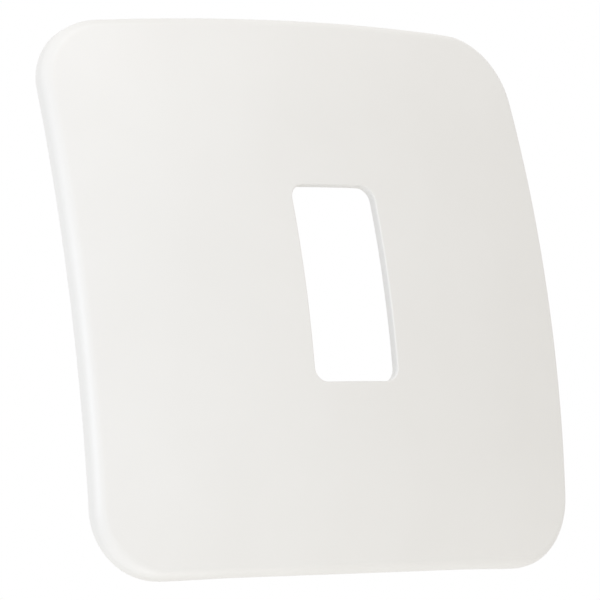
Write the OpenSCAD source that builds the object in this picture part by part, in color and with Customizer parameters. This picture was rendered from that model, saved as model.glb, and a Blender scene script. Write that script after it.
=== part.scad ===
// Wall plate set for a one-module rocker switch: a domed clip-on cover plate
// with an empty module slot, and the pressed steel grid behind it that is
// screwed to a square flush wall box. The slot takes a one-module rocker.
//
// Frame: +Z up, the front faces -Y, +X to the right seen from the front.
// The wall is the plane y = 0, and the origin is the centre of the four fixings.
// Pieces are drawn lying down, with z as the height off the wall, and stood up
// by stand().

/* [Cover plate] */
// Width of the cover plate, between the middles of its bowed sides
plate_w = 121.5; // [116:0.5:150]
// Height of the cover plate
plate_h = 120; // [116:0.5:150]
// Corner radius of the outline
corner_r = 15.3; // [12:0.1:22]
// How far the left and right sides bow out
side_bulge = 0.7; // [0.3:0.05:3]
// How far the top and bottom bow out
end_bulge = 1.05; // [0.3:0.05:3]
// Radius of the domed front at its middle
dome_r = 200; // [180:1:500]
// How far the front rises above that sphere where its sides would meet
corner_lift = 3.2; // [0:0.1:4]
// Wall thickness of the front
cover_t = 2.2; // [1.6:0.1:2.8]
// Wall thickness of the rim
rim_t = 1.6; // [1.2:0.1:2]
// Rounding between the front and the rim
edge_r = 2.0; // [1.6:0.1:4]
// Rounding in the inside corner between the front and the rim
inner_r = 0.4; // [0.2:0.1:0.8]
// Straight band of the rim behind the rounding
rim_band = 1.9; // [1.2:0.1:4]
// Gap between the rim's corners and the wall
rim_gap = 0.3; // [0.2:0.1:2]
// Width of the shallow recess in the rim's lower edge
pry_w = 86; // [10:1:90]
// Depth of that recess
pry_depth = 0.2; // [0.1:0.05:0.8]
// Length of that recess, measured from the rim's back edge
pry_len = 1.8; // [1:0.1:4]

/* [Module slot] */
// Width of the slot
slot_w = 21.1; // [16:0.1:30]
// Height of the slot
slot_h = 42.2; // [30:0.1:50]
// Corner radius of the slot
slot_r = 3.1; // [1:0.1:6]
// Rounding of the slot's front edge
slot_lip = 0.35; // [0.2:0.05:0.8]
// Distance from the slot to the collar behind it
collar_off = 4.0; // [3.5:0.1:5]
// Wall thickness of the collar
collar_t = 1.4; // [1:0.1:2]
// How far the collar stands out behind the cover
collar_h = 2.6; // [1:0.1:3]

/* [Skirt, ribs and posts of the cover] */
// Distance from the outline to the skirt that meets the wall
skirt_inset = 8.0; // [7:0.1:9]
// Wall thickness of the skirt
skirt_t = 1.6; // [1.2:0.1:2]
// Gap between the skirt and the wall
skirt_gap = 0.3; // [0.2:0.1:1]
// Thickness of the stiffening ribs
rib_t = 1.2; // [0.8:0.1:2]
// Gap between the ribs and what stands under them
rib_clear = 0.8; // [0.5:0.1:1]
// Radius of the four round posts
post_r = 2.5; // [2:0.1:3]
// Distance between the posts, across and up
post_pitch = 80; // [74:0.5:82]
// Gap between a post's tip and the wall
post_tip_gap = 0.6; // [0.3:0.1:2]
// Radius of the boss at a post's root
post_boss_r = 3.6; // [3.2:0.1:4]
// Least height of that boss
boss_least = 0.4; // [0.2:0.1:1]

/* [Grid] */
// Thickness of the sheet steel
sheet_t = 1.2; // [0.8:0.1:1.6]
// Gap between the grid and the inside of the skirt
grid_gap = 0.6; // [0.4:0.1:2]
// Corner radius of the grid
grid_r = 5; // [3:0.5:8]
// Height of the folded outer edge, off the wall
edge_fold_h = 4.2; // [2.5:0.1:5]
// Width of the window for the module
window_w = 52; // [44:0.5:56]
// Height of the window for the module
window_h = 58; // [48:0.5:60]
// Height of the window's folded flanges, off the wall
window_fold_h = 6.4; // [4:0.1:7.4]
// Width of the catch holes in the side flanges
catch_w = 12; // [6:0.5:16]
// Height of the catch holes
catch_h = 2.4; // [1.5:0.1:3]

/* [Fixings] */
// Distance between the fixing screws, across
fixing_x = 46; // [40:0.1:50]
// Distance between the fixing screws, up
fixing_z = 83.3; // [80:0.1:84]
// Radius of the fixing screw's thread
screw_r = 1.75; // [1.4:0.05:2.1]
// Radius of the plain neck between the head and the thread
neck_r = 1.4; // [1:0.05:1.4]
// Length of the fixing screw under its head
screw_len = 25; // [16:0.5:40]
// Radius of the fixing screw's head
head_r = 3.4; // [3:0.1:3.8]
// Height of the fixing screw's head
head_h = 2.2; // [1.5:0.1:2.6]
// Width of the slots in the screw heads
driver_w = 0.9; // [0.6:0.1:1.2]
// Depth of the slots in the screw heads
driver_depth = 1.1; // [0.6:0.1:1.3]
// Side clearance of a fixing screw in the grid and its washer
screw_clear = 0.25; // [0.15:0.05:0.4]
// Sideways play of a fixing screw in its slot, for levelling
level_play = 1.8; // [0.5:0.1:2]
// Radius of the washer
washer_r = 4.8; // [4.4:0.1:5.2]
// Thickness of the washer
washer_t = 0.8; // [0.5:0.1:1]
// Radius of the raised pad around each fixing slot
pad_r = 6.0; // [5.8:0.1:6.2]
// Height of the raised pad
pad_h = 1.3; // [1.2:0.1:1.6]
// Radius of the retainer that keeps a screw in the grid
retainer_r = 4.0; // [3.2:0.1:4.4]
// Thickness of the retainer
retainer_t = 0.9; // [0.5:0.1:1.1]
// Side clearance of a screw's thread in its retainer
retainer_clear = 0.05; // [0.03:0.01:0.1]
// Gap between the retainer and the start of the thread
thread_gap = 0.05; // [0.03:0.01:0.2]

/* [Post sockets] */
// Height of a socket off the wall
socket_h = 6.6; // [5:0.1:7.4]
// Wall thickness of a socket
socket_wall = 1.6; // [1.2:0.1:1.8]
// Width of a socket's flange beyond its wall
socket_flange = 1.0; // [0.6:0.1:1.4]
// Thickness of a socket's flange
socket_flange_t = 1.0; // [0.6:0.1:1.5]
// Side clearance of a post in its socket
post_clear = 0.1; // [0.05:0.01:0.2]
// Side clearance of a socket's foot in the grid
spigot_clear = 0.05; // [0.03:0.01:0.1]
// Gap between the socket's foot and the wall
socket_foot_gap = 0.1; // [0.05:0.05:0.4]
// Width of the slits that let a socket give
slit_w = 0.8; // [0.5:0.1:1.2]
// Depth of the slits
slit_depth = 3.6; // [2:0.1:4]

/* [Earth terminal] */
// Distance from the middle of the grid to the terminal, across
earth_x = -37.5; // [-39:0.5:-35]
// Distance from the middle of the grid to the terminal, up
earth_z = -14; // [-18:0.5:-8]
// Side of the square brass block and of its clamp plate
earth_side = 9; // [8:0.1:10]
// Thickness of the brass block
earth_t = 2.3; // [1.8:0.1:2.4]
// Thickness of the clamp plate
clamp_t = 0.9; // [0.6:0.1:1]
// Gap for the wire between the block and the clamp plate
wire_gap = 0.3; // [0.2:0.1:0.5]
// Radius of the terminal screw's thread
earth_screw_r = 1.5; // [1.25:0.05:1.75]
// Radius of the terminal screw's head
earth_head_r = 2.9; // [2.5:0.1:3.2]
// Height of the terminal screw's head
earth_head_h = 1.6; // [1.2:0.1:1.8]
// Side clearance of the terminal screw in the block
earth_screw_clear = 0.05; // [0.03:0.01:0.1]
// Gap between the terminal screw's tip and the wall
earth_tip_gap = 0.4; // [0.2:0.1:1]

/* [Hidden] */

$fn = 64;
// A cut runs this far past the face it opens
over = 1;

// Points in a quarter of an outline: along the side, round the corner, along the end
side_steps = 5;
corner_steps = 8;
end_steps = 5;
// Rings across the front, and round the edge
dome_steps = 6;
inner_steps = 4;
round_steps = 6;
lip_steps = 2;

// The plate's outline is four arcs and four corner arcs that meet smoothly.
// A side's arc is centred on the X axis, an end's on the Y axis.
side_arc_r = (pow(plate_h / 2, 2) + pow(side_bulge, 2)) / (2 * side_bulge);
end_arc_r = (pow(plate_w / 2, 2) + pow(end_bulge, 2)) / (2 * end_bulge);
side_c = [plate_w / 2 - side_arc_r, 0];
end_c = [0, plate_h / 2 - end_arc_r];

// The point, far from the origin's side of a to b, that is ra from a and rb from b
function meet(a, ra, b, rb) =
  let (
    d = b - a,
    len = norm(d),
    along = (ra * ra - rb * rb + len * len) / (2 * len),
    across = sqrt(ra * ra - along * along),
    n = [d[1], -d[0]] / len
  )
  a + d / len * along + n * across;

corner_a = meet(side_c, side_arc_r - corner_r, end_c, end_arc_r - corner_r);
corner_b = meet(end_c, end_arc_r - corner_r, side_c, side_arc_r - corner_r);
corner_c = corner_a[0] > 0 && corner_a[1] > 0 ? corner_a : corner_b;
side_turn = atan2(corner_c[1] - side_c[1], corner_c[0] - side_c[0]);
end_turn = atan2(corner_c[1] - end_c[1], corner_c[0] - end_c[0]);

function on_arc(c, r, angle) = c + r * [cos(angle), sin(angle)];

// A quarter of the plate's outline moved in by inset, from the +X axis to the +Y axis
function plate_quarter(inset) = [
  for (i = [0:side_steps - 1])
    on_arc(side_c, side_arc_r - inset, side_turn * i / side_steps),
  for (i = [0:corner_steps - 1])
    on_arc(corner_c, corner_r - inset, side_turn + (end_turn - side_turn) * i / corner_steps),
  for (i = [0:end_steps])
    on_arc(end_c, end_arc_r - inset, end_turn + (90 - end_turn) * i / end_steps)
];

// A quarter of the slot's outline moved out by grow, with as many points
slot_c = [slot_w / 2 - slot_r, slot_h / 2 - slot_r];
function slot_quarter(grow) = [
  for (i = [0:side_steps - 1])
    [slot_w / 2 + grow, slot_c[1] * i / side_steps],
  for (i = [0:corner_steps - 1])
    on_arc(slot_c, slot_r + grow, 90 * i / corner_steps),
  for (i = [0:end_steps])
    [slot_c[0] * (1 - i / end_steps), slot_h / 2 + grow]
];

// The whole outline from its quarter
function all_round(q) =
  let (m = len(q) - 1)
  [
    for (i = [0:m - 1]) q[i],
    for (i = [m:-1:1]) [-q[i][0], q[i][1]],
    for (i = [0:m - 1]) [-q[i][0], -q[i][1]],
    for (i = [m:-1:1]) [q[i][0], -q[i][1]]
  ];

function plate_line(inset) = all_round(plate_quarter(inset));
function slot_line(grow) = all_round(slot_quarter(grow));
function between(a, b, f) = [for (i = [0:len(a) - 1]) a[i] * (1 - f) + b[i] * f];

// The front is a sphere whose corners are lifted, so that its edges are flatter
function lift(p) = corner_lift * pow(4 * p[0] * p[1] / (plate_w * plate_h), 2);
function sag(p) = dome_r - sqrt(dome_r * dome_r - p * p) - lift(p);

// The ribs end over the highest piece of the grid
rib_end_h = max(window_fold_h, socket_h) + rib_clear;
post_at = post_pitch / 2;

// The rim follows the dome, so its corners come nearest to the wall. The dome
// also leaves room for a boss at the root of each post
corner_tip = on_arc(corner_c, corner_r, (side_turn + end_turn) / 2);
rim_depth = edge_r + rim_band;
crown_h = max(
  sag(corner_tip) + rim_depth + rim_gap,
  sag([post_at, post_at]) + cover_t + boss_least + rib_end_h
);

// Height of the dome off the wall, inset below its front by depth
function dome_h(p, depth = 0) =
  crown_h - dome_r + sqrt(pow(dome_r - depth, 2) - p * p) + lift(p);

function on_dome(line, depth = 0, drop = 0) =
  [for (p = line) [p[0], p[1], dome_h(p, depth) - drop]];
function at_height(line, h) = [for (p = line) [p[0], p[1], h]];

// How far a quarter round of radius r has dropped at inset s from its outside
function round_drop(r, s) = r - sqrt(r * r - pow(r - s, 2));

outer_line = plate_line(0);
inner_line = plate_line(rim_t);
skirt_out = plate_line(skirt_inset);
skirt_in = plate_line(skirt_inset + skirt_t);
collar_out = slot_line(collar_off + collar_t);
collar_in = slot_line(collar_off);

// The section of the cover as rings, from the slot's front edge over the front,
// round the rim, and back behind it over the skirt and the collar
cover_rings = [
  for (i = [0:lip_steps])
    let (s = slot_lip * (1 - cos(90 * i / lip_steps)))
    on_dome(slot_line(s), 0, round_drop(slot_lip, s)),
  for (i = [1:dome_steps])
    on_dome(between(slot_line(slot_lip), plate_line(edge_r), i / dome_steps)),
  for (i = [1:round_steps])
    let (s = edge_r * (1 - sin(90 * i / round_steps)))
    on_dome(plate_line(s), 0, round_drop(edge_r, s)),
  on_dome(outer_line, 0, rim_depth),
  [for (i = [0:len(outer_line) - 1])
    [inner_line[i][0], inner_line[i][1], dome_h(outer_line[i]) - rim_depth]],
  for (i = [round_steps:-2:2])
    let (s = inner_r * (1 - sin(90 * i / round_steps)))
    on_dome(plate_line(rim_t + s), cover_t, round_drop(inner_r, s)),
  on_dome(skirt_out, cover_t),
  at_height(skirt_out, skirt_gap),
  at_height(skirt_in, skirt_gap),
  for (i = [0:inner_steps])
    on_dome(between(skirt_in, collar_out, i / inner_steps), cover_t),
  on_dome(collar_out, cover_t, collar_h),
  on_dome(collar_in, cover_t, collar_h),
  on_dome(collar_in, cover_t),
  on_dome(slot_line(0), cover_t)
];

post_root_h = dome_h([post_at, post_at], cover_t);

// The grid lies inside the skirt
grid_w = plate_w - 2 * (skirt_inset + skirt_t + side_bulge + grid_gap);
grid_h = plate_h - 2 * (skirt_inset + skirt_t + end_bulge + grid_gap);

pad_top = sheet_t + pad_h;
washer_top = pad_top + washer_t;
slot_half = screw_r + screw_clear;
thread_top = pad_h - retainer_t - thread_gap;
thread_tip = washer_top - screw_len;

socket_bore_r = post_r + post_clear;
socket_r = socket_bore_r + socket_wall;
spigot_r = socket_bore_r + socket_wall / 2;

earth_top = sheet_t + earth_t;
clamp_low = earth_top + wire_gap;
clamp_top = clamp_low + clamp_t;

// Stands a piece up: its height off the wall becomes -Y, and its y becomes +Z
module stand() {
  rotate([90, 0, 0])
    children();
}

// Puts a copy at each corner of a rectangle
module at_corners(dx, dy) {
  for (sx = [-1, 1], sy = [-1, 1])
    translate([sx * dx, sy * dy, 0])
      children();
}

module rounded(w, h, r) {
  square([w - 2 * r, h], center = true);
  square([w, h - 2 * r], center = true);
  at_corners(w / 2 - r, h / 2 - r)
    circle(r);
}

// A solid between low and high
module slab(low, high) {
  translate([0, 0, low])
    linear_extrude(high - low)
      children();
}

// Closes a list of rings, each joined to the next and the last to the first
module ring_loft(rings) {
  m = len(rings);
  n = len(rings[0]);
  polyhedron(
    points = [for (ring = rings) each ring],
    faces = [
      for (k = [0:m - 1], i = [0:n - 1])
        let (
          j = (i + 1) % n,
          l = (k + 1) % m
        )
        each [
          [k * n + i, k * n + j, l * n + j],
          [k * n + i, l * n + j, l * n + i]
        ]
    ]
  );
}

// A rib under the dome from radius r0 to r1. Its lower edge slopes down from the
// collar at 45 degrees, which keeps it out of sight behind the slot, and is then level
module rib(angle, r0, r1) {
  steps = 6;
  rise = cover_t / 2;
  way = [cos(angle), sin(angle)];
  start_h = dome_h(r0 * way, cover_t) - collar_h;
  rotate([0, 0, angle])
    translate([0, rib_t / 2, 0])
      rotate([90, 0, 0])
        linear_extrude(rib_t)
          polygon([
            [r0, start_h],
            [r0 + start_h - rib_end_h, rib_end_h],
            [r1, rib_end_h],
            for (i = [steps:-1:0])
              let (r = r0 + (r1 - r0) * i / steps)
              [r, dome_h(r * way, rise)]
          ]);
}

// Screw head with crossed slots, standing on z = 0
module slotted_head(r, h) {
  difference() {
    rotate_extrude()
      polygon([
        [0, 0],
        [r, 0],
        [r, h * 0.45],
        [r * 0.9, h * 0.75],
        [r * 0.65, h * 0.95],
        [0, h]
      ]);
    for (a = [0, 90])
      rotate([0, 0, a])
        translate([-r * 0.55, -driver_w / 2, h - driver_depth])
          cube([r * 1.1, driver_w, driver_depth + over]);
  }
}

module cover_post(x, y) {
  boss_h = post_root_h - socket_h - rib_clear;
  translate([x, y, post_tip_gap]) {
    cylinder(r = post_r, h = post_root_h + cover_t / 2 - post_tip_gap);
    translate([0, 0, post_root_h - boss_h - post_tip_gap])
      cylinder(r = post_boss_r, h = boss_h + cover_t / 2);
  }
}

// Cutter for the shallow recess along the rim's lower edge, which follows the rim
module pry_recess() {
  steps = 12;
  intersection() {
    slab(-over, crown_h)
      difference() {
        translate([-pry_w / 2, -plate_h / 2 - over])
          square([pry_w, rim_t + over]);
        polygon(plate_line(pry_depth));
      }
    rotate([90, 0, 0])
      linear_extrude(plate_h)
        polygon([
          [pry_w / 2, -over],
          [-pry_w / 2, -over],
          for (i = [0:steps])
            let (x = pry_w * (i / steps - 0.5))
            [x, dome_h([x, plate_h / 2]) - rim_depth + pry_len]
        ]);
  }
}

module cover_plate() {
  collar_reach = collar_off + collar_t / 2;
  skirt_reach = skirt_inset + skirt_t / 2;
  diagonal = norm([post_at, post_at]);
  color([0.95, 0.95, 0.94])
    stand()
      difference() {
        union() {
          ring_loft(cover_rings);
          for (sx = [-1, 1], sy = [-1, 1])
            cover_post(sx * post_at, sy * post_at);
          for (a = [0, 180])
            rib(a, slot_w / 2 + collar_reach, plate_w / 2 - skirt_reach);
          for (a = [90, 270])
            rib(a, slot_h / 2 + collar_reach, plate_h / 2 - skirt_reach);
          for (a = [45, 135, 225, 315])
            rib(a, norm([slot_w, slot_h]) / 2 + collar_reach, diagonal);
        }
        pry_recess();
      }
}

module fixing_slot() {
  square([2 * level_play, 2 * slot_half], center = true);
  for (sx = [-1, 1])
    translate([sx * level_play, 0])
      circle(slot_half);
}

module grid_plate() {
  color([0.74, 0.75, 0.76])
    stand()
      difference() {
        union() {
          slab(0, sheet_t)
            rounded(grid_w, grid_h, grid_r);
          slab(0, edge_fold_h)
            difference() {
              rounded(grid_w, grid_h, grid_r);
              rounded(grid_w - 2 * sheet_t, grid_h - 2 * sheet_t, grid_r - sheet_t);
            }
          slab(0, window_fold_h)
            rounded(window_w + 2 * sheet_t, window_h + 2 * sheet_t, 2 * sheet_t);
          at_corners(fixing_x / 2, fixing_z / 2)
            cylinder(r = pad_r, h = pad_top);
        }
        slab(-over, window_fold_h + over)
          rounded(window_w, window_h, sheet_t);
        at_corners(fixing_x / 2, fixing_z / 2) {
          translate([0, 0, -over])
            cylinder(r = pad_r - sheet_t, h = pad_h + over);
          slab(-over, pad_top + over)
            fixing_slot();
        }
        at_corners(post_at, post_at)
          translate([0, 0, -over])
            cylinder(r = spigot_r + spigot_clear, h = sheet_t + 2 * over);
        translate([earth_x, earth_z, -over])
          cylinder(r = earth_screw_r + screw_clear, h = sheet_t + 2 * over);
        translate([-window_w, -catch_w / 2, window_fold_h - 2 * catch_h])
          cube([2 * window_w, catch_w, catch_h]);
      }
}

module socket(sx, sy) {
  color([0.93, 0.92, 0.88])
    stand()
      translate([sx * post_at, sy * post_at, 0])
        difference() {
          union() {
            translate([0, 0, socket_foot_gap])
              cylinder(r = spigot_r, h = socket_h - socket_foot_gap);
            translate([0, 0, sheet_t])
              cylinder(r = socket_r, h = socket_h - sheet_t);
            translate([0, 0, sheet_t])
              cylinder(r = socket_r + socket_flange, h = socket_flange_t);
          }
          translate([0, 0, -over])
            cylinder(r = socket_bore_r, h = socket_h + 2 * over);
          for (a = [0, 90])
            rotate([0, 0, a])
              translate([-socket_r - over, -slit_w / 2, socket_h - slit_depth])
                cube([2 * (socket_r + over), slit_w, slit_depth + over]);
        }
}

module fixing_screw(sx, sy) {
  color([0.78, 0.76, 0.66])
    stand()
      translate([sx * fixing_x / 2, sy * fixing_z / 2, 0]) {
        translate([0, 0, washer_top])
          slotted_head(head_r, head_h);
        translate([0, 0, thread_top])
          cylinder(r = neck_r, h = washer_top - thread_top);
        translate([0, 0, thread_tip])
          cylinder(r = screw_r, h = thread_top - thread_tip);
        translate([0, 0, thread_tip - screw_r])
          cylinder(r1 = screw_r / 2, r2 = screw_r, h = screw_r);
      }
}

module washer(sx, sy) {
  color([0.8, 0.8, 0.8])
    stand()
      translate([sx * fixing_x / 2, sy * fixing_z / 2, pad_top])
        difference() {
          cylinder(r = washer_r, h = washer_t);
          translate([0, 0, -over])
            cylinder(r = slot_half, h = washer_t + 2 * over);
        }
}

module retainer(sx, sy) {
  color([0.9, 0.35, 0.2])
    stand()
      translate([sx * fixing_x / 2, sy * fixing_z / 2, pad_h - retainer_t])
        difference() {
          cylinder(r = retainer_r, h = retainer_t);
          translate([0, 0, -over])
            cylinder(r = screw_r + retainer_clear, h = retainer_t + 2 * over);
        }
}

module earth_terminal() {
  color([0.82, 0.66, 0.32])
    stand()
      difference() {
        translate([earth_x, earth_z, 0])
          slab(sheet_t, earth_top)
            rounded(earth_side, earth_side, 1);
        translate([earth_x, earth_z, 0])
          cylinder(r = earth_screw_r + earth_screw_clear, h = earth_top + over);
      }
}

module earth_clamp_plate() {
  color([0.8, 0.8, 0.78])
    stand()
      difference() {
        translate([earth_x, earth_z, 0])
          slab(clamp_low, clamp_top)
            rounded(earth_side, earth_side, 1);
        translate([earth_x, earth_z, 0])
          cylinder(r = earth_screw_r + screw_clear, h = clamp_top + over);
      }
}

module earth_screw() {
  color([0.82, 0.68, 0.36])
    stand()
      translate([earth_x, earth_z, 0]) {
        translate([0, 0, clamp_top])
          slotted_head(earth_head_r, earth_head_h);
        translate([0, 0, earth_tip_gap])
          cylinder(r = earth_screw_r, h = clamp_top - earth_tip_gap);
      }
}

module socket_top_left() { socket(-1, 1); }
module socket_top_right() { socket(1, 1); }
module socket_bottom_left() { socket(-1, -1); }
module socket_bottom_right() { socket(1, -1); }
module fixing_screw_top_left() { fixing_screw(-1, 1); }
module fixing_screw_top_right() { fixing_screw(1, 1); }
module fixing_screw_bottom_left() { fixing_screw(-1, -1); }
module fixing_screw_bottom_right() { fixing_screw(1, -1); }
module washer_top_left() { washer(-1, 1); }
module washer_top_right() { washer(1, 1); }
module washer_bottom_left() { washer(-1, -1); }
module washer_bottom_right() { washer(1, -1); }
module retainer_top_left() { retainer(-1, 1); }
module retainer_top_right() { retainer(1, 1); }
module retainer_bottom_left() { retainer(-1, -1); }
module retainer_bottom_right() { retainer(1, -1); }

cover_plate();
grid_plate();
socket_top_left();
socket_top_right();
socket_bottom_left();
socket_bottom_right();
fixing_screw_top_left();
fixing_screw_top_right();
fixing_screw_bottom_left();
fixing_screw_bottom_right();
washer_top_left();
washer_top_right();
washer_bottom_left();
washer_bottom_right();
retainer_top_left();
retainer_top_right();
retainer_bottom_left();
retainer_bottom_right();
earth_terminal();
earth_clamp_plate();
earth_screw();
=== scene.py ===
import math

import bmesh
import bpy
import numpy as np
from mathutils import Matrix, Vector


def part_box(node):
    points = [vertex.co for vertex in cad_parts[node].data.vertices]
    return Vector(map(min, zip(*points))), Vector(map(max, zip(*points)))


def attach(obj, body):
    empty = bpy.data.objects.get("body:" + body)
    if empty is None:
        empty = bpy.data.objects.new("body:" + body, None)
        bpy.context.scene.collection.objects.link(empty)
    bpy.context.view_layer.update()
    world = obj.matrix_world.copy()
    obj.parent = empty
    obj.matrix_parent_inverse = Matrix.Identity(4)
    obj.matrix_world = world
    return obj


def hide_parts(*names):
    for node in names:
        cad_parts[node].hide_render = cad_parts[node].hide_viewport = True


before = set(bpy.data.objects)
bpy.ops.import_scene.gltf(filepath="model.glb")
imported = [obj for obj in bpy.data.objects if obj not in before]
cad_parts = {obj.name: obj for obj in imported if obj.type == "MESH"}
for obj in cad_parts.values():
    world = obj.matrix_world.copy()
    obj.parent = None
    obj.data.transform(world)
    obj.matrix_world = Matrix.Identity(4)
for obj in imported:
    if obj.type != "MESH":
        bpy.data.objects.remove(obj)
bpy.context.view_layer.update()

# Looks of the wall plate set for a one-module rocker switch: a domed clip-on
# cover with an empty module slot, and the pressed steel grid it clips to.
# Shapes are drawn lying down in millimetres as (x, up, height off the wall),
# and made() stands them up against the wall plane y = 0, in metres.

MM = 0.001
TURN = 2 * math.pi
CORNERS = {
    "top_left": (-1, 1),
    "top_right": (1, 1),
    "bottom_left": (-1, -1),
    "bottom_right": (1, -1),
}


def box_mm(node):
    """Lowest and highest corner of a CAD node in millimetres, as (x, up, height)."""
    low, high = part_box(node)
    return Vector((low.x, low.z, -high.y)) / MM, Vector((high.x, high.z, -low.y)) / MM


def place_mm(node):
    """Where a node's middle stands on the wall, in millimetres."""
    low, high = box_mm(node)
    return (low.x + high.x) / 2, (low.y + high.y) / 2


# ---- Sizes of the cover ----

cover_low, cover_high = box_mm("cover_plate")
plate_w = 2 * cover_high.x
plate_h = 2 * cover_high.y
corner_r = 15.3
side_bulge = 0.7
end_bulge = 1.05
dome_r = 200
# How far the front rises above that sphere where its sides would meet
corner_lift = 3.2
cover_t = 2.2
rim_t = 1.6
edge_r = 2.0
inner_r = 0.4
rim_band = 1.9
rim_depth = edge_r + rim_band
# Rounding of the rim's back edges
rim_soft = 0.25

pry_w = 86
pry_depth = 0.2
pry_len = 1.8
# Length over which the recess runs out at its ends, and its step's rounding
pry_ramp = 14
pry_step = 0.25

slot_w = 21.1
slot_h = 42.2
slot_r = 3.1
slot_lip = 0.35
collar_off = 4.0
collar_t = 1.4
collar_h = 2.6

skirt_inset = 8.0
skirt_t = 1.6
skirt_soft = 0.35
rib_t = 1.2
rib_clear = 0.8
post_r = 2.5
post_boss_r = 3.6
post_tip_gap = 0.6
post_chamfer = 0.6
post_chamfer_h = 1.0

# Marks that moulding leaves on the cover's back
ejector_r = 1.9
ejector_depth = 0.1
EJECTORS_AT = [(44, 12), (22, 30), (14, 46)]
gate_r = 0.6
gate_h = 0.45

# The front's highest ring lies just outside the slot's lip
crown_h = cover_high.z + dome_r - math.sqrt(dome_r**2 - (slot_w / 2 + slot_lip) ** 2)

# ---- Sizes of the grid and of what it carries ----

grid_low, grid_high = box_mm("grid_plate")
grid_w = grid_high.x - grid_low.x
grid_h = grid_high.y - grid_low.y
window_fold_h = grid_high.z
sheet_t = 1.2
grid_r = 5
edge_fold_h = 4.2
window_w = 52
window_h = 58
window_r = 1.2
catch_w = 12
catch_h = 2.4
# Outside radius of the sheet's bends, and rounding of its cut edges
bend_r = 1.7
sheet_soft = 0.12

washer_low, washer_high = box_mm("washer_top_right")
washer_r = (washer_high.x - washer_low.x) / 2
pad_top = washer_low.z
washer_top = washer_high.z
pad_h = pad_top - sheet_t
pad_r = 6.0
slot_half = 2.0
level_play = 1.8

retainer_low, retainer_high = box_mm("retainer_top_right")
retainer_r = (retainer_high.x - retainer_low.x) / 2

screw_low, screw_high = box_mm("fixing_screw_top_right")
head_r = (screw_high.x - screw_low.x) / 2
head_top = screw_high.z
screw_r = 1.75
neck_r = 1.4
screw_pitch = 0.6
thread_top = 0.35

socket_low, socket_high = box_mm("socket_top_right")
socket_h = socket_high.z
flange_r = (socket_high.x - socket_low.x) / 2
flange_t = 1.0
socket_r = 4.2
bore_r = 2.6
spigot_r = 3.4
slit_w = 0.8
slit_depth = 3.6

terminal_low, terminal_high = box_mm("earth_terminal")
earth_side = terminal_high.x - terminal_low.x
clamp_low, clamp_high = box_mm("earth_clamp_plate")
earth_low, earth_high = box_mm("earth_screw")
earth_head_r = (earth_high.x - earth_low.x) / 2
earth_screw_r = 1.5
earth_neck_r = 1.23
earth_pitch = 0.5
# Room round the earth screw in a clearance hole, and in a hole that it screws into
hole_clear = 0.25
thread_clear = 0.05
# Wire grooves in the top of the block: radius, place as a share of its side, and lift
groove_r = 0.55
groove_at = 0.32
groove_lift = 0.28
block_cap = 1.5

# ---- Camera, light and floor ----

# The camera stands left of the front and a little below it, and leans a little
VIEW_LEFT = math.radians(35.51)
VIEW_BELOW = math.radians(11.16)
VIEW_LEAN = math.radians(-7.594)
VIEW_DISTANCE = 0.953
VIEW_TARGET = Vector((-0.01299, -crown_h * MM, -0.00408))
LENS = 275.41
SENSOR = 36

# Light from all round, and three soft lamps aimed at the object
AMBIENT = 0.70
AMBIENT_COLOUR = (1.0, 0.98, 0.95)
LAMP_SIZE = 0.3
LAMPS = {
    "key": ((-0.58, -0.155, 0), 1.10, (0.82, 0.89, 1.0)),
    "under": ((0, -0.12, -0.48), 0.69, (1.0, 1.0, 0.98)),
    "over": ((0, -0.35, 0.45), 0.76, (0.98, 0.99, 1.0)),
}

FLOOR_Z = -0.5
FLOOR_REACH = 4
FLOOR_CORNERS = [(-1, -1), (1, -1), (1, 1), (-1, 1)]
# How much brighter the floor shows than it lights
FLOOR_LIFT = 0.22


# ---- Mesh tools ----

def made(name, points, faces):
    """An object from drawn points. Doubled points are merged."""
    mesh = bpy.data.meshes.new(name)
    mesh.from_pydata([(x * MM, -h * MM, up * MM) for x, up, h in points], [], faces)
    merge_doubles(mesh)
    piece = bpy.data.objects.new(name, mesh)
    bpy.context.scene.collection.objects.link(piece)
    return piece


def merge_doubles(mesh):
    work = bmesh.new()
    work.from_mesh(mesh)
    bmesh.ops.remove_doubles(work, verts=work.verts, dist=1e-7)
    bmesh.ops.dissolve_degenerate(work, edges=work.edges, dist=1e-7)
    bmesh.ops.recalc_face_normals(work, faces=work.faces)
    work.to_mesh(mesh)
    work.free()


def loft(rings, closed=False, capped=False):
    """Points and faces that join each ring to the next, and if closed the last to the first."""
    count = len(rings[0])
    points = [tuple(point) for ring in rings for point in ring]
    faces = []
    last = len(rings) if closed else len(rings) - 1
    for k in range(last):
        a = k * count
        b = (k + 1) % len(rings) * count
        for i in range(count):
            j = (i + 1) % count
            faces.append((a + i, a + j, b + j, b + i))
    if capped:
        faces.append(tuple(range(count))[::-1])
        faces.append(tuple(range((len(rings) - 1) * count, len(rings) * count)))
    return points, faces


def joined(*parts):
    """Points and faces of several lofts as one."""
    points = []
    faces = []
    for some_points, some_faces in parts:
        start = len(points)
        points += some_points
        faces += [tuple(start + i for i in face) for face in some_faces]
    return points, faces


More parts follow.
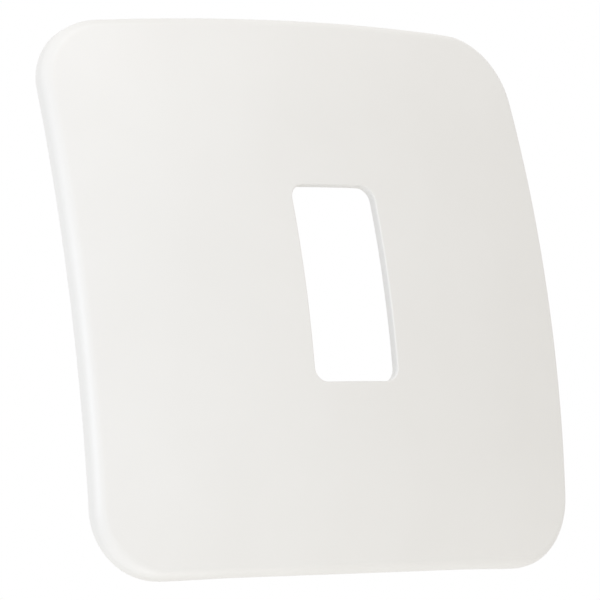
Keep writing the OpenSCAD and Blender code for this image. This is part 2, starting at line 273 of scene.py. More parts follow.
def softened(profile, steps=3):
    """A profile of (across, height, rounding) corners with each corner rounded."""
    result = []
    for i, (x, h, r) in enumerate(profile):
        corner = np.array((x, h), float)
        if r == 0:
            result.append(tuple(corner))
            continue
        before = np.array(profile[i - 1][:2], float) - corner
        after = np.array(profile[(i + 1) % len(profile)][:2], float) - corner
        before /= np.linalg.norm(before)
        after /= np.linalg.norm(after)
        half = math.acos(np.clip(before @ after, -1, 1)) / 2
        back = r / math.tan(half)
        centre = corner + (before + after) / np.linalg.norm(before + after) * r / math.sin(half)
        start = corner + before * back - centre
        stop = corner + after * back - centre
        sweep = math.pi - 2 * half
        for step in range(steps + 1):
            f = step / steps
            arc = (start * math.sin((1 - f) * sweep) + stop * math.sin(f * sweep)) / math.sin(sweep)
            result.append(tuple(centre + arc))
    return result


def circle(r, sides):
    angles = np.arange(sides) * TURN / sides
    return np.stack([r * np.cos(angles), r * np.sin(angles)], 1)


def level(line, h, at=(0, 0)):
    """An outline as a ring at one height."""
    return np.column_stack([line[:, 0] + at[0], line[:, 1] + at[1], np.full(len(line), h)])


def turned(profile, at=(0, 0), sides=48, hollow=False):
    """A turned shape: a ring with a closed profile, or a solid whose ends are capped."""
    rings = [level(circle(r, sides), h, at) for r, h in profile]
    return loft(rings, closed=hollow, capped=not hollow)


def rounded_line(w, h, r, steps=8):
    """A rounded rectangle's outline, anticlockwise from its lower right corner."""
    points = []
    for turn, (sx, sy) in enumerate([(1, -1), (1, 1), (-1, 1), (-1, -1)]):
        for step in range(steps + 1):
            angle = (turn - 1 + step / steps) * TURN / 4
            x = sx * (w / 2 - r) + r * math.cos(angle)
            y = sy * (h / 2 - r) + r * math.sin(angle)
            points.append((x, y))
    return np.array(points)


def applied(piece):
    """Bakes an object's modifiers into its mesh."""
    bpy.context.view_layer.update()
    seen = piece.evaluated_get(bpy.context.evaluated_depsgraph_get())
    mesh = bpy.data.meshes.new_from_object(seen)
    old = piece.data
    piece.modifiers.clear()
    piece.data = mesh
    mesh.name = piece.name
    bpy.data.meshes.remove(old)
    return piece


def combined(piece, others, operation):
    """Joins others to a piece with UNION, or cuts them from it with DIFFERENCE."""
    for other in others:
        modifier = piece.modifiers.new(operation, "BOOLEAN")
        modifier.operation = operation
        modifier.solver = "EXACT"
        modifier.object = other
        applied(piece)
        mesh = other.data
        bpy.data.objects.remove(other)
        bpy.data.meshes.remove(mesh)
    merge_doubles(piece.data)
    return piece


def finished(piece, node, body, material, crease=35):
    """Smooths a piece, gives it its finish and stands it in for its CAD node."""
    piece.data.shade_smooth()
    piece.data.set_sharp_from_angle(angle=math.radians(crease))
    weighted = piece.modifiers.new("weighted_normals", "WEIGHTED_NORMAL")
    weighted.keep_sharp = True
    piece.data.materials.clear()
    piece.data.materials.append(material)
    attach(piece, body)
    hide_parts(node)
    return piece


# ---- Outlines of the cover ----

SIDE_STEPS = 20
CORNER_STEPS = 16
END_STEPS = 20

side_arc_r = ((plate_h / 2) ** 2 + side_bulge**2) / (2 * side_bulge)
end_arc_r = ((plate_w / 2) ** 2 + end_bulge**2) / (2 * end_bulge)
side_centre = np.array((plate_w / 2 - side_arc_r, 0))
end_centre = np.array((0, plate_h / 2 - end_arc_r))


def corner_centre():
    """Where a corner's arc is centred: it touches the side's arc and the end's arc."""
    r_side = side_arc_r - corner_r
    r_end = end_arc_r - corner_r
    gap = end_centre - side_centre
    length = np.linalg.norm(gap)
    along = (r_side**2 - r_end**2 + length**2) / (2 * length)
    across = math.sqrt(r_side**2 - along**2)
    normal = np.array((gap[1], -gap[0])) / length
    ways = [side_centre + gap / length * along + normal * across * way for way in (1, -1)]
    return max(ways, key=min)


corner_at = corner_centre()
side_turn = math.atan2(*(corner_at - side_centre)[::-1])
end_turn = math.atan2(*(corner_at - end_centre)[::-1])


def arc(centre, r, start, stop, steps):
    angles = start + (stop - start) * np.arange(steps) / steps
    return np.stack([centre[0] + r * np.cos(angles), centre[1] + r * np.sin(angles)], 1)


def all_round(quarter):
    """The whole outline from its quarter, which runs from the +X axis to the +Y axis."""
    back = quarter[:0:-1]
    front = quarter[:-1]
    return np.vstack([front, back * (-1, 1), -front, back * (1, -1)])


def plate_line(inset):
    end = np.array([[0, plate_h / 2 - inset]])
    quarter = np.vstack([
        arc(side_centre, side_arc_r - inset, 0, side_turn, SIDE_STEPS),
        arc(corner_at, corner_r - inset, side_turn, end_turn, CORNER_STEPS),
        arc(end_centre, end_arc_r - inset, end_turn, TURN / 4, END_STEPS),
        end,
    ])
    return all_round(quarter)


def slot_line(grow):
    centre = np.array((slot_w / 2 - slot_r, slot_h / 2 - slot_r))
    side = np.column_stack([
        np.full(SIDE_STEPS, slot_w / 2 + grow),
        centre[1] * np.arange(SIDE_STEPS) / SIDE_STEPS,
    ])
    end = np.column_stack([
        centre[0] * (1 - np.arange(END_STEPS + 1) / END_STEPS),
        np.full(END_STEPS + 1, slot_h / 2 + grow),
    ])
    corner = arc(centre, slot_r + grow, 0, TURN / 4, CORNER_STEPS)
    return all_round(np.vstack([side, corner, end]))


def dome_h(line, depth=0):
    """Height off the wall of the front, or of the face that lies depth behind it."""
    reach = line[:, 0] ** 2 + line[:, 1] ** 2
    lift = corner_lift * (4 * line[:, 0] * line[:, 1] / (plate_w * plate_h)) ** 2
    return crown_h - dome_r + np.sqrt((dome_r - depth) ** 2 - reach) + lift


def dome_at(x, up, depth=0):
    return float(dome_h(np.array([[x, up]]), depth)[0])


def on_dome(line, depth=0, drop=0):
    return np.column_stack([line, dome_h(line, depth) - drop])


def eased(values):
    """Runs smoothly from 0 to 1."""
    f = np.clip(values, 0, 1)
    return f * f * (3 - 2 * f)


def with_recess(ring, drop):
    """Moves a rim ring in by the shallow recess along the middle of the lower edge."""
    behind = eased(np.array((drop - (rim_depth - pry_len)) / pry_step))
    along = eased((pry_w / 2 - np.abs(ring[:, 0])) / pry_ramp)
    below = ring[:, 1] < 0
    moved = ring.copy()
    moved[:, 1] += pry_depth * behind * along * below
    return moved


def edge_ring(depth, inset_line, height_line, drop):
    """A ring that takes its plan from one outline and its height from another."""
    return np.column_stack([inset_line, dome_h(height_line, depth) - drop])


# ---- Cover plate ----

DOME_STEPS = 22
EDGE_STEPS = 14
LIP_STEPS = 5
SOFT_STEPS = 3
INNER_EDGE_STEPS = 6
INNER_STEPS = 10
RIB_STEPS = 10


def round_over(r, f):
    """Inset and drop at the share f of a quarter round of radius r, from its top."""
    angle = f * TURN / 4
    return r * (1 - math.sin(angle)), r * (1 - math.cos(angle))


def front_rings():
    rings = []
    for step in range(LIP_STEPS + 1):
        inset, drop = round_over(slot_lip, 1 - step / LIP_STEPS)
        rings.append(on_dome(slot_line(inset), 0, drop))
    inner = slot_line(slot_lip)
    outer = plate_line(edge_r)
    for step in range(1, DOME_STEPS + 1):
        f = step / DOME_STEPS
        rings.append(on_dome(inner * (1 - f) + outer * f))
    return rings


def rim_rings():
    """Round the rim's edge, down its band and over its back edge."""
    outer = plate_line(0)
    rings = []
    drops = [round_over(edge_r, step / EDGE_STEPS) for step in range(1, EDGE_STEPS + 1)]
    step_top = rim_depth - pry_len
    extra = [step_top, step_top + pry_step / 2, step_top + pry_step]
    for inset, drop in drops + [(0, depth) for depth in extra]:
        rings.append(with_recess(on_dome(plate_line(inset), 0, drop), drop))
    rings.append(with_recess(on_dome(outer, 0, rim_depth - rim_soft), rim_depth))
    for step in range(1, SOFT_STEPS + 1):
        inset, rise = round_over(rim_soft, 1 - step / SOFT_STEPS)
        ring = edge_ring(0, plate_line(inset), outer, rim_depth - rise)
        rings.append(with_recess(ring, rim_depth))
    for step in range(SOFT_STEPS + 1):
        inset, rise = round_over(rim_soft, step / SOFT_STEPS)
        rings.append(edge_ring(0, plate_line(rim_t - inset), outer, rim_depth - rise))
    return rings


def inner_rings():
    """Back inside the rim, over the skirt and up to the collar and the slot."""
    skirt_gap = cover_low.z
    rings = []
    for step in range(INNER_EDGE_STEPS + 1):
        inset, drop = round_over(inner_r, 1 - step / INNER_EDGE_STEPS)
        rings.append(on_dome(plate_line(rim_t + inset), cover_t, drop))
    outside = plate_line(skirt_inset)
    inside = plate_line(skirt_inset + skirt_t)
    rings.append(on_dome(plate_line(skirt_inset - skirt_soft), cover_t))
    rings.append(on_dome(outside, cover_t, skirt_soft))
    rings.append(level(outside, skirt_gap + skirt_soft))
    rings.append(level(plate_line(skirt_inset + skirt_soft), skirt_gap))
    rings.append(level(plate_line(skirt_inset + skirt_t - skirt_soft), skirt_gap))
    rings.append(level(inside, skirt_gap + skirt_soft))
    rings.append(on_dome(inside, cover_t, skirt_soft))
    collar_out = slot_line(collar_off + collar_t)
    floor_line = plate_line(skirt_inset + skirt_t + skirt_soft)
    floor_end = slot_line(collar_off + collar_t + skirt_soft)
    for step in range(INNER_STEPS + 1):
        f = step / INNER_STEPS
        rings.append(on_dome(floor_line * (1 - f) + floor_end * f, cover_t))
    rings.append(on_dome(collar_out, cover_t, skirt_soft))
    rings.append(on_dome(collar_out, cover_t, collar_h - skirt_soft))
    rings.append(on_dome(slot_line(collar_off + collar_t - skirt_soft), cover_t, collar_h))
    rings.append(on_dome(slot_line(collar_off + skirt_soft), cover_t, collar_h))
    rings.append(on_dome(slot_line(collar_off), cover_t, collar_h - skirt_soft))
    rings.append(on_dome(slot_line(collar_off), cover_t, skirt_soft))
    rings.append(on_dome(slot_line(collar_off - skirt_soft), cover_t))
    rings.append(on_dome(slot_line(rim_soft), cover_t))
    rings.append(on_dome(slot_line(0), cover_t, -rim_soft))
    return rings


def rib(name, angle, r0, r1):
    """A stiffening rib under the dome. It starts with a slope at the collar."""
    end_h = max(window_fold_h, socket_h) + rib_clear
    way = (math.cos(angle), math.sin(angle))
    start_h = dome_at(r0 * way[0], r0 * way[1], cover_t) - collar_h
    top = [r0 + (r1 - r0) * step / RIB_STEPS for step in range(RIB_STEPS + 1)]
    profile = [(r0, start_h), (r0 + start_h - end_h, end_h), (r1, end_h)]
    profile += [(r, dome_at(r * way[0], r * way[1], cover_t / 2)) for r in reversed(top)]
    rings = []
    for side in (-1, 1):
        off = side * rib_t / 2
        rings.append([
            (r * way[0] - off * way[1], r * way[1] + off * way[0], h)
            for r, h in profile
        ])
    return made(name, *loft(rings, capped=True))


def post(name, x, up):
    """A round post with its boss. Its tip is chamfered to find the socket."""
    root_h = dome_at(x, up, cover_t)
    boss_h = socket_h + rib_clear
    profile = softened([
        (post_r - 2 * post_chamfer, post_tip_gap, 0),
        (post_r - post_chamfer, post_tip_gap, 0.15),
        (post_r, post_tip_gap + post_chamfer_h, 0.3),
        (post_r, boss_h, 0.2),
        (post_boss_r, boss_h, 0.25),
        (post_boss_r, root_h + cover_t / 2, 0),
    ])
    return made(name, *turned(profile, (x, up)))


def ejector_mark(x, up):
    """Cutter for the shallow round mark that an ejector pin leaves."""
    h = dome_at(x, up, cover_t)
    profile = [(ejector_r, h - 1.5), (ejector_r, h + ejector_depth)]
    return made("mark", *turned(profile, (x, up), sides=32))


def gate_vestige(x, up):
    """The stub left where the plastic came in."""
    h = dome_at(x, up, cover_t)
    tip = h - gate_h
    profile = softened([(gate_r / 2, tip, 0), (gate_r, tip, 0.15), (gate_r + 0.5, h + 0.5, 0)])
    return made("gate", *turned(profile, (x, up), sides=24))


def make_cover(material):
    cover = made("cover_shell", *loft(front_rings() + rim_rings() + inner_rings(), closed=True))
    collar_reach = collar_off + collar_t / 2
    skirt_reach = skirt_inset + skirt_t / 2
    slot_diagonal = math.hypot(slot_w, slot_h) / 2
    added = []
    for name, (sx, sy) in CORNERS.items():
        x, up = place_mm("socket_" + name)
        angle = math.atan2(up, x)
        added.append(rib("rib", angle, slot_diagonal + collar_reach, math.hypot(x, up)))
        added.append(post("post", x, up))
    for turn in range(4):
        slot_reach = (slot_w, slot_h)[turn % 2] / 2 + collar_reach
        plate_reach = (plate_w, plate_h)[turn % 2] / 2 - skirt_reach
        added.append(rib("rib", turn * TURN / 4, slot_reach, plate_reach))
    added.append(gate_vestige(slot_w / 2 + 12, slot_h / 2 - 8))
    combined(cover, added, "UNION")
    marks = [
        ejector_mark(sx * x, sy * up)
        for sx in (-1, 1)
        for sy in (-1, 1)
        for x, up in EJECTORS_AT
    ]
    combined(cover, marks, "DIFFERENCE")
    return finished(cover, "cover_plate", "cover", material)


# ---- Grid ----

def ring_between(inset, grow, h, f):
    """A ring that runs from the grid's outline (f = 0) to its window's outline (f = 1)."""
    outer = rounded_line(grid_w - 2 * inset, grid_h - 2 * inset, grid_r - inset)
    inner = rounded_line(window_w + 2 * grow, window_h + 2 * grow, window_r + grow)
    return level(outer * (1 - f) + inner * f, h)


def sheet_rings():
    """The pressed sheet: outer fold, wall side, window fold, and back over its front."""
    tight = bend_r - sheet_t
    outside = softened([
        (sheet_t, edge_fold_h - 1, 0),
        (sheet_t, edge_fold_h, sheet_soft),
        (0, edge_fold_h, sheet_soft),
        (0, 0, bend_r),
        (bend_r + 1, 0, 0),
    ], 5)
    window = softened([
        (bend_r + 1, 0, 0),
        (0, 0, bend_r),
        (0, window_fold_h, sheet_soft),
        (sheet_t, window_fold_h, sheet_soft),
        (sheet_t, sheet_t, tight),
        (sheet_t + tight + 1, sheet_t, 0),
    ], 5)
    front = softened([
        (sheet_t + tight + 1, sheet_t, 0),
        (sheet_t, sheet_t, tight),
        (sheet_t, edge_fold_h - 1, 0),
    ], 5)[:-1]
    rings = [ring_between(inset, 0, h, 0) for inset, h in outside]
    rings += [ring_between(0, grow, h, 1) for grow, h in window]
    rings += [ring_between(inset, 0, h, 0) for inset, h in front]
    return rings


def pad(at):
    """The raised pad under a washer, with a soft foot and a soft shoulder."""
    profile = softened([
        (pad_r + 0.4, sheet_t / 2, 0),
        (pad_r + 0.3, sheet_t, 0.3),
        (pad_r - 0.15, pad_top - 0.6, 0.2),
        (pad_r - 0.5, pad_top, 0.5),
        (pad_r - 2, pad_top, 0),
    ])
    return made("pad", *turned(profile, at, sides=64))


def pad_recess(at):
    """What the pad leaves hollow on the wall side."""
    inside = pad_r - sheet_t
    profile = softened([
        (inside + 0.5, -1, 0),
        (inside + 0.3, 0, 0.25),
        (inside, pad_h - 0.5, 0.2),
        (inside - 0.2, pad_h, 0.2),
        (inside - 2, pad_h, 0),
    ])
    return made("recess", *turned(profile, at, sides=64))


def prism(name, line, low, high, at=(0, 0)):
    return made(name, *loft([level(line, low, at), level(line, high, at)], capped=True))


def fixing_slot(at):
    line = rounded_line(2 * (level_play + slot_half), 2 * slot_half, slot_half - 0.001)
    return prism("slot", line, pad_h - 0.5, pad_top + 1, at)


def drilled(r, at, low, high, sides=48):
    return made("hole", *turned([(r, low), (r, high)], at, sides))


def catch_hole():
    """One cutter that opens the catch holes in both side folds of the window."""
    low = window_fold_h - 2 * catch_h
    line = rounded_line(2 * window_w - 8, catch_w, 0.5)
    return prism("catch", line, low, low + catch_h)


def make_grid(material):
    grid = made("grid_sheet", *loft(sheet_rings(), closed=True))
    fixings = [place_mm("washer_" + name) for name in CORNERS]
    combined(grid, [pad(at) for at in fixings], "UNION")
    cuts = [pad_recess(at) for at in fixings]
    cuts += [fixing_slot(at) for at in fixings]
    for name in CORNERS:
        cuts.append(drilled(spigot_r + 0.05, place_mm("socket_" + name), -1, sheet_t + 1))
    cuts.append(drilled(earth_screw_r + hole_clear, place_mm("earth_screw"), -1, sheet_t + 1))
    cuts.append(catch_hole())
    combined(grid, cuts, "DIFFERENCE")
    return finished(grid, "grid_plate", "grid", material)


# ---- Screws ----

# One pitch of thread as (share of the pitch, share of the depth)
THREAD_SECTION = [(0.0, 0.0), (0.12, 0.0), (0.44, 1.0), (0.56, 1.0), (0.88, 0.0)]
SCREW_SIDES = 24


def thread(minor, major, pitch, low, high, at, sides):
    """A helical thread between two heights. It runs out to its root at both ends."""
    turns = math.ceil((high - low) / pitch) + 2
    rows = [(turn + along, rise) for turn in range(-1, turns) for along, rise in THREAD_SECTION]
    points = []
    for along, rise in rows:
        for side in range(sides):
            angle = side / sides * TURN
            h = min(max(low + pitch * (along + side / sides), low), high)
            fade = min(1, (h - low) / pitch, (high - h) / pitch)
            r = minor + (major - minor) * rise * fade
            points.append((at[0] + r * math.cos(angle), at[1] + r * math.sin(angle), h))
    per_turn = len(THREAD_SECTION)
    faces = []
    for row in range(len(rows) - per_turn - 1):
        for side in range(sides):
            a = row * sides + side
            b = a + 1 if side < sides - 1 else (row + per_turn) * sides
            faces.append((a, b, b + sides, a + sides))
    return points, faces


def screw(name, at, tip, low, high, minor, major, pitch, head_profile):
    """A screw as one closed surface: tip, thread, neck and head."""
    sides = SCREW_SIDES
    below = [(major * 0.4, tip), (minor, low)]
    above = [(minor, high)] + head_profile
    lower = loft([level(circle(r, sides), h, at) for r, h in below])
    upper = loft([level(circle(r, sides), h, at) for r, h in above])
    piece = made(name, *joined(lower, thread(minor, major, pitch, low, high, at, sides), upper))
    work = bmesh.new()
    work.from_mesh(piece.data)
    bmesh.ops.holes_fill(work, edges=work.edges, sides=sides)
    bmesh.ops.recalc_face_normals(work, faces=work.faces)
    work.to_mesh(piece.data)
    work.free()
    return piece


def pan_head(neck, r, low, high):
    """Profile of a pan head, from the neck under it to the middle of its top."""
    tall = high - low
    return softened([
        (neck, low, 0),
        (r, low, 0.15),
        (r, low + tall * 0.42, 0.35),
        (r * 0.88, low + tall * 0.8, 0.5),
        (r * 0.55, low + tall * 0.98, 0.4),
        (r * 0.12, high, 0),
    ], 4)


def cross_recess(r, top, depth, width, at, turn):
    """Cutters for a crossed recess whose arms narrow with depth."""
    cutters = []
    for quarter in (0, 1):
        angle = turn + quarter * TURN / 4
        rings = []
        for h, long_half, half in (
            (top - depth, r * 0.28, width * 0.32),
            (top + 0.5, r * 0.62, width * 0.55),
        ):
            corners = [(-long_half, -half), (long_half, -half), (long_half, half), (-long_half, half)]
            rings.append([
                (
                    at[0] + x * math.cos(angle) - y * math.sin(angle),
                    at[1] + x * math.sin(angle) + y * math.cos(angle),
                    h,
                )
                for x, y in corners
            ])
        cutters.append(made("recess", *loft(rings, capped=True)))
    return cutters


def make_fixing_screws(material):
    tip = screw_low.z
    low = tip + screw_r
    for index, name in enumerate(CORNERS):
        at = place_mm("fixing_screw_" + name)
        piece = screw(
            "m3_5_screw_" + name, at, tip, low, thread_top,
            neck_r, screw_r, screw_pitch, pan_head(neck_r, head_r, washer_top, head_top),
        )
        combined(piece, cross_recess(head_r, head_top, 1.3, 1.1, at, index * 0.4), "DIFFERENCE")
        finished(piece, "fixing_screw_" + name, "screw_" + name, material)


def make_earth_screw(material):
    at = place_mm("earth_screw")
    piece = screw(
        "terminal_screw", at, earth_low.z, earth_low.z + 0.4, clamp_low.z,
        earth_neck_r, earth_screw_r, earth_pitch,
        pan_head(earth_neck_r, earth_head_r, clamp_high.z, earth_high.z),
    )
    combined(piece, cross_recess(earth_head_r, earth_high.z, 1.0, 0.95, at, 0.6), "DIFFERENCE")
    return finished(piece, "earth_screw", "earth_screw", material)


# ---- Small pieces ----

def make_washers(material):
    profile = softened([
        (slot_half, pad_top, 0.06),
        (washer_r, pad_top, 0.06),
        (washer_r, washer_top, 0.25),
        (slot_half, washer_top, 0.2),
    ])
    for name in CORNERS:
        at = place_mm("washer_" + name)
        piece = made("flat_washer_" + name, *turned(profile, at, 64, hollow=True))
        finished(piece, "washer_" + name, "washer_" + name, material)


def make_retainers(material):
    low = retainer_low.z
    high = retainer_high.z
    profile = softened([
        (screw_r + thread_clear, low, 0.1),
        (retainer_r, low, 0.12),
        (retainer_r, high, 0.12),
        (screw_r + thread_clear, high, 0.1),
    ])
    for name in CORNERS:
        at = place_mm("retainer_" + name)
        piece = made("fibre_ring_" + name, *turned(profile, at, 48, hollow=True))
        finished(piece, "retainer_" + name, "grid", material)


def make_sockets(material):
    foot = socket_low.z
    profile = softened([
        (bore_r, foot, 0.15),
        (spigot_r, foot, 0.25),
        (spigot_r, sheet_t, 0.1),
        (flange_r, sheet_t, 0.1),
        (flange_r, sheet_t + flange_t, 0.3),
        (socket_r, sheet_t + flange_t, 0.4),
        (socket_r - 0.15, socket_h, 0.3),
        (bore_r + 0.6, socket_h, 0.15),
        (bore_r, socket_h - 0.9, 0.2),
    ])
    for name in CORNERS:
        at = place_mm("socket_" + name)
        piece = made("post_socket_" + name, *turned(profile, at, 64, hollow=True))
        low = socket_h - slit_depth
        reach = socket_r + 1
        slits = []
        for long_x, long_up in ((reach, slit_w / 2), (slit_w / 2, reach)):
            line = rounded_line(2 * long_x, 2 * long_up, slit_w / 4, 2)
            slits.append(prism("slit", line, low, socket_h + 1, at))
        combined(piece, slits, "DIFFERENCE")
        finished(piece, "socket_" + name, "grid", material)


def soft_block(name, side, low, high, at, soft):
    """A square block with rounded corners and softened edges."""
    profile = softened([
        (side / 2 - block_cap, low, 0),
        (0, low, soft),
        (0, high, soft),
        (side / 2 - block_cap, high, 0),
    ])
    rings = [
        level(rounded_line(side - 2 * inset, side - 2 * inset, max(1 - inset, 0.2)), h, at)
        for inset, h in profile
    ]
    return made(name, *loft(rings, capped=True))


def make_earth_block(material):
    at = place_mm("earth_screw")
    low = terminal_low.z
    high = terminal_high.z
    block = soft_block("brass_block", earth_side, low, high, at, 0.25)
    groove = turned([(groove_r, -earth_side), (groove_r, earth_side)], (0, 0), 24)
    grooves = []
    for side in (-1, 1):
        points = [
            (at[0] + side * earth_side * groove_at + x, at[1] + h, high + groove_lift + up)
            for x, up, h in groove[0]
        ]
        grooves.append(made("groove", points, groove[1]))
    combined(block, grooves, "DIFFERENCE")
    hole = drilled(earth_screw_r + thread_clear, at, low - 1, high + 1)
    combined(block, [hole], "DIFFERENCE")
    return finished(block, "earth_terminal", "grid", material)


def make_clamp_plate(material):
    at = place_mm("earth_screw")
    plate = soft_block("clamp_plate", earth_side, clamp_low.z, clamp_high.z, at, 0.2)
    hole = drilled(earth_screw_r + hole_clear, at, clamp_low.z - 1, clamp_high.z + 1)
    combined(plate, [hole], "DIFFERENCE")
    return finished(plate, "earth_clamp_plate", "earth_clamp", material)


# ---- Materials ----

class Finish:
    """A material and the few nodes that its textures are built from."""

    def __init__(self, name):
        self.material = bpy.data.materials.new(name)
        self.material.use_nodes = True
        self.nodes = self.material.node_tree.nodes
        self.links = self.material.node_tree.links
        self.shader = self.nodes["Principled BSDF"]
        self.coords = self.nodes.new("ShaderNodeTexCoord")

    def noise(self, size_mm, detail=3, stretch=(1, 1, 1)):
        """Noise whose features are about size_mm across, drawn out along an axis by its stretch."""
        mapping = self.nodes.new("ShaderNodeMapping")
        mapping.inputs["Scale"].default_value = [1 / (size_mm * MM * s) for s in stretch]
        self.links.new(self.coords.outputs["Object"], mapping.inputs["Vector"])
        texture = self.nodes.new("ShaderNodeTexNoise")
        texture.inputs["Scale"].default_value = 1
        texture.inputs["Detail"].default_value = detail
        self.links.new(mapping.outputs["Vector"], texture.inputs["Vector"])
        return texture.outputs["Fac"]

    def spread(self, value, low, high, start=0.3, stop=0.7):
        """Maps a texture's middle range onto low to high."""
        node = self.nodes.new("ShaderNodeMapRange")
        node.inputs["From Min"].default_value = start
        node.inputs["From Max"].default_value = stop
        node.inputs["To Min"].default_value = low
        node.inputs["To Max"].default_value = high
        self.links.new(value, node.inputs["Value"])
        return node.outputs["Result"]

    def mix(self, value, first, second):
        """A colour that runs from first to second with value."""
        node = self.nodes.new("ShaderNodeMix")
        node.data_type = "RGBA"
        for socket, colour in (("A_Color", first), ("B_Color", second)):
            target = next(i for i in node.inputs if i.identifier == socket)
            if isinstance(colour, tuple):
                target.default_value = (*colour, 1)
            else:
                self.links.new(colour, target)
        factor = next(i for i in node.inputs if i.identifier == "Factor_Float")
        self.links.new(value, factor)
        return next(o for o in node.outputs if o.identifier == "Result_Color")

    def set(self, socket, value):
        """Links an output to a shader socket, or sets a plain value on it."""
        target = self.shader.inputs[socket]
        if isinstance(value, bpy.types.NodeSocket):
            self.links.new(value, target)
        else:
            target.default_value = value

    def bump(self, heights, distance_mm):
        """Bumps the surface by textures, each given with its depth in millimetres."""
        normal = None
        for height, depth in zip(heights, distance_mm):
            node = self.nodes.new("ShaderNodeBump")
            node.inputs["Strength"].default_value = 1
            node.inputs["Distance"].default_value = depth * MM
            self.links.new(height, node.inputs["Height"])
            if normal is not None:
                self.links.new(normal, node.inputs["Normal"])
            normal = node.outputs["Normal"]
        self.set("Normal", normal)


def cover_plastic():
    """Glossy white moulded thermoplastic with a faint orange peel."""
    finish = Finish("cover_plastic")
    clouds = finish.spread(finish.noise(26, 2), 0, 1)
    grain = finish.noise(0.22, 4)
    peel = finish.noise(1.6, 2)
    finish.set("Base Color", finish.mix(clouds, (0.864, 0.854, 0.833), (0.880, 0.871, 0.852)))
    finish.set("Roughness", finish.spread(grain, 0.38, 0.46))
    finish.set("IOR", 1.49)
    finish.bump([peel, grain], [0.004, 0.0008])
    return finish.material


def plated_sheet():
    """Zinc-plated steel sheet: rolling lines, a bluish bloom and faint blotches."""
    finish = Finish("plated_sheet")
    rolled = finish.noise(0.35, 4, (1, 1, 40))
    lines = finish.spread(rolled, 0, 1)
    worn = finish.mix(lines, (0.47, 0.48, 0.50), (0.60, 0.61, 0.62))
    blotch = finish.spread(finish.noise(2.6, 5), 0, 0.45, 0.35, 0.75)
    pale = finish.mix(blotch, worn, (0.66, 0.67, 0.68))
    tint = finish.spread(finish.noise(16, 2), 0, 0.30)
    finish.set("Base Color", finish.mix(tint, pale, (0.58, 0.57, 0.48)))
    finish.set("Metallic", 1.0)
    finish.set("Roughness", finish.spread(rolled, 0.30, 0.46))
    finish.bump([rolled, finish.noise(1.4, 2)], [0.006, 0.010])
    return finish.material


def screw_zinc():
    """Bright zinc with a faint yellow passivation."""
    finish = Finish("screw_zinc")
    clouds = finish.spread(finish.noise(2.2, 3), 0, 1)
    fine = finish.noise(0.12, 3)
    finish.set("Base Color", finish.mix(clouds, (0.58, 0.57, 0.54), (0.66, 0.62, 0.49)))
    finish.set("Metallic", 1.0)
    finish.set("Roughness", finish.spread(fine, 0.22, 0.36))
    finish.bump([fine], [0.004])
    return finish.material


def brass():
    finish = Finish("brass")
    clouds = finish.spread(finish.noise(3, 3), 0, 1)
    turned_lines = finish.noise(0.10, 3, (1, 14, 1))
    finish.set("Base Color", finish.mix(clouds, (0.74, 0.53, 0.22), (0.80, 0.62, 0.31)))
    finish.set("Metallic", 1.0)
    finish.set("Roughness", finish.spread(turned_lines, 0.24, 0.40))
    finish.bump([turned_lines], [0.004])
    return finish.material


def socket_nylon():
    """Natural nylon: slightly milky and cloudy."""
    finish = Finish("socket_nylon")
    clouds = finish.spread(finish.noise(3.5, 3), 0, 1)
    grain = finish.noise(0.3, 3)
    finish.set("Base Color", finish.mix(clouds, (0.74, 0.71, 0.62), (0.80, 0.77, 0.69)))
    finish.set("Roughness", finish.spread(grain, 0.40, 0.52))
    finish.set("Subsurface Weight", 0.2)
    finish.set("Subsurface Scale", MM)
    finish.set("Subsurface Radius", (1.2, 1.0, 0.8))
    finish.bump([grain], [0.004])
    return finish.material


def retainer_fibre():
    """Vulcanised fibre: red-brown, matt and streaky."""
    finish = Finish("retainer_fibre")
    streaks = finish.spread(finish.noise(0.35, 4, (5, 1, 1)), 0, 1)
    fibres = finish.noise(0.12, 4, (6, 1, 1))
    finish.set("Base Color", finish.mix(streaks, (0.30, 0.075, 0.040), (0.42, 0.13, 0.065)))
    finish.set("Roughness", finish.spread(fibres, 0.62, 0.80))
    finish.bump([fibres], [0.012])
    return finish.material


# ---- Stage ----

def make_camera():
    away = Vector((
        -math.sin(VIEW_LEFT) * math.cos(VIEW_BELOW),
        -math.cos(VIEW_LEFT) * math.cos(VIEW_BELOW),
        -math.sin(VIEW_BELOW),
    ))
    flat = Vector((math.cos(VIEW_LEFT), -math.sin(VIEW_LEFT), 0))
    raised = flat.cross(-away)
    right = math.cos(VIEW_LEAN) * flat + math.sin(VIEW_LEAN) * raised
    up = math.cos(VIEW_LEAN) * raised - math.sin(VIEW_LEAN) * flat
    data = bpy.data.cameras.new("camera")
    data.lens = LENS
    data.sensor_width = SENSOR
    data.clip_start = 0.05
    data.clip_end = 20
    camera = bpy.data.objects.new("camera", data)
    turn = Matrix((right, up, away)).transposed().to_4x4()
    camera.matrix_world = Matrix.Translation(VIEW_TARGET + away * VIEW_DISTANCE) @ turn
    bpy.context.scene.collection.objects.link(camera)
    bpy.context.scene.camera = camera


def area_light(name, at, power, colour):
    """A square light aimed at the object. It lights, and isn't seen itself."""
    data = bpy.data.lights.new(name, "AREA")
    data.shape = "SQUARE"
    data.size = LAMP_SIZE
    data.energy = power
    data.color = colour
    lamp = bpy.data.objects.new(name, data)
    lamp.visible_camera = False
    lamp.location = at
    lamp.rotation_mode = "QUATERNION"
    lamp.rotation_quaternion = (-Vector(at)).to_track_quat("-Z", "Y")
    bpy.context.scene.collection.objects.link(lamp)


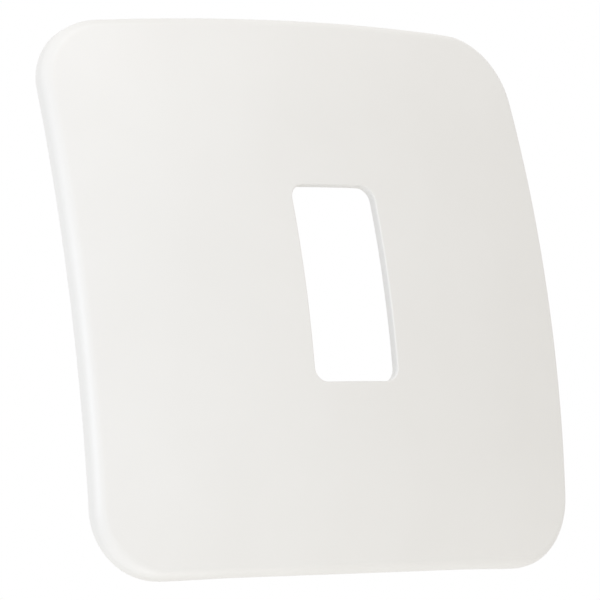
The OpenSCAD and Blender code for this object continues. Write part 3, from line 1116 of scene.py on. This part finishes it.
def seen_or_mirrored(nodes, links):
    """1 on rays from the camera, a mirror or clear glass, and 0 on rays that light a surface."""
    path = nodes.new("ShaderNodeLightPath")
    total = path.outputs["Is Camera Ray"]
    for name in ("Is Glossy Ray", "Is Transmission Ray"):
        more = nodes.new("ShaderNodeMath")
        more.operation = "MAXIMUM"
        links.new(total, more.inputs[0])
        links.new(path.outputs[name], more.inputs[1])
        total = more.outputs["Value"]
    return total


def make_world():
    world = bpy.data.worlds.new("studio")
    bpy.context.scene.world = world
    world.use_nodes = True
    nodes = world.node_tree.nodes
    links = world.node_tree.links
    nodes.clear()
    white = nodes.new("ShaderNodeBackground")
    white.inputs["Color"].default_value = (1, 1, 1, 1)
    white.inputs["Strength"].default_value = 1.0
    ambient = nodes.new("ShaderNodeBackground")
    ambient.inputs["Color"].default_value = (*AMBIENT_COLOUR, 1)
    ambient.inputs["Strength"].default_value = AMBIENT
    chosen = nodes.new("ShaderNodeMixShader")
    output = nodes.new("ShaderNodeOutputWorld")
    links.new(seen_or_mirrored(nodes, links), chosen.inputs["Fac"])
    links.new(ambient.outputs["Background"], chosen.inputs[1])
    links.new(white.outputs["Background"], chosen.inputs[2])
    links.new(chosen.outputs["Shader"], output.inputs["Surface"])


def make_floor():
    """A wide pale floor, well under the plate, that can't be seen from below.

    It shows a little brighter than it lights, and keeps the plate's shadow.
    """
    finish = Finish("floor")
    mottle = finish.spread(finish.noise(180, 2), 0, 1)
    finish.set("Base Color", finish.mix(mottle, (0.86, 0.86, 0.855), (0.88, 0.88, 0.875)))
    finish.set("Roughness", 0.9)
    nodes = finish.nodes
    links = finish.links
    lift = nodes.new("ShaderNodeMath")
    lift.operation = "MULTIPLY"
    lift.inputs[1].default_value = FLOOR_LIFT
    links.new(seen_or_mirrored(nodes, links), lift.inputs[0])
    glow = nodes.new("ShaderNodeEmission")
    links.new(lift.outputs["Value"], glow.inputs["Strength"])
    lifted = nodes.new("ShaderNodeAddShader")
    links.new(finish.shader.outputs["BSDF"], lifted.inputs[0])
    links.new(glow.outputs["Emission"], lifted.inputs[1])
    geometry = nodes.new("ShaderNodeNewGeometry")
    clear = nodes.new("ShaderNodeBsdfTransparent")
    chosen = nodes.new("ShaderNodeMixShader")
    links.new(geometry.outputs["Backfacing"], chosen.inputs["Fac"])
    links.new(lifted.outputs["Shader"], chosen.inputs[1])
    links.new(clear.outputs["BSDF"], chosen.inputs[2])
    links.new(chosen.outputs["Shader"], nodes["Material Output"].inputs["Surface"])
    mesh = bpy.data.meshes.new("floor")
    corners = [(sx * FLOOR_REACH, sy * FLOOR_REACH, FLOOR_Z) for sx, sy in FLOOR_CORNERS]
    mesh.from_pydata(corners, [], [(0, 1, 2, 3)])
    mesh.materials.append(finish.material)
    floor = bpy.data.objects.new("floor", mesh)
    bpy.context.scene.collection.objects.link(floor)


# ---- The scene ----

bpy.context.scene.view_settings.view_transform = "Standard"
make_camera()
make_world()
make_floor()
for lamp_name, (lamp_at, lamp_power, lamp_colour) in LAMPS.items():
    area_light(lamp_name, lamp_at, lamp_power, lamp_colour)

sheet_finish = plated_sheet()
zinc_finish = screw_zinc()
brass_finish = brass()
make_cover(cover_plastic())
make_grid(sheet_finish)
make_fixing_screws(zinc_finish)
make_washers(zinc_finish)
make_retainers(retainer_fibre())
make_sockets(socket_nylon())
make_earth_block(brass_finish)
make_clamp_plate(sheet_finish)
make_earth_screw(brass_finish)
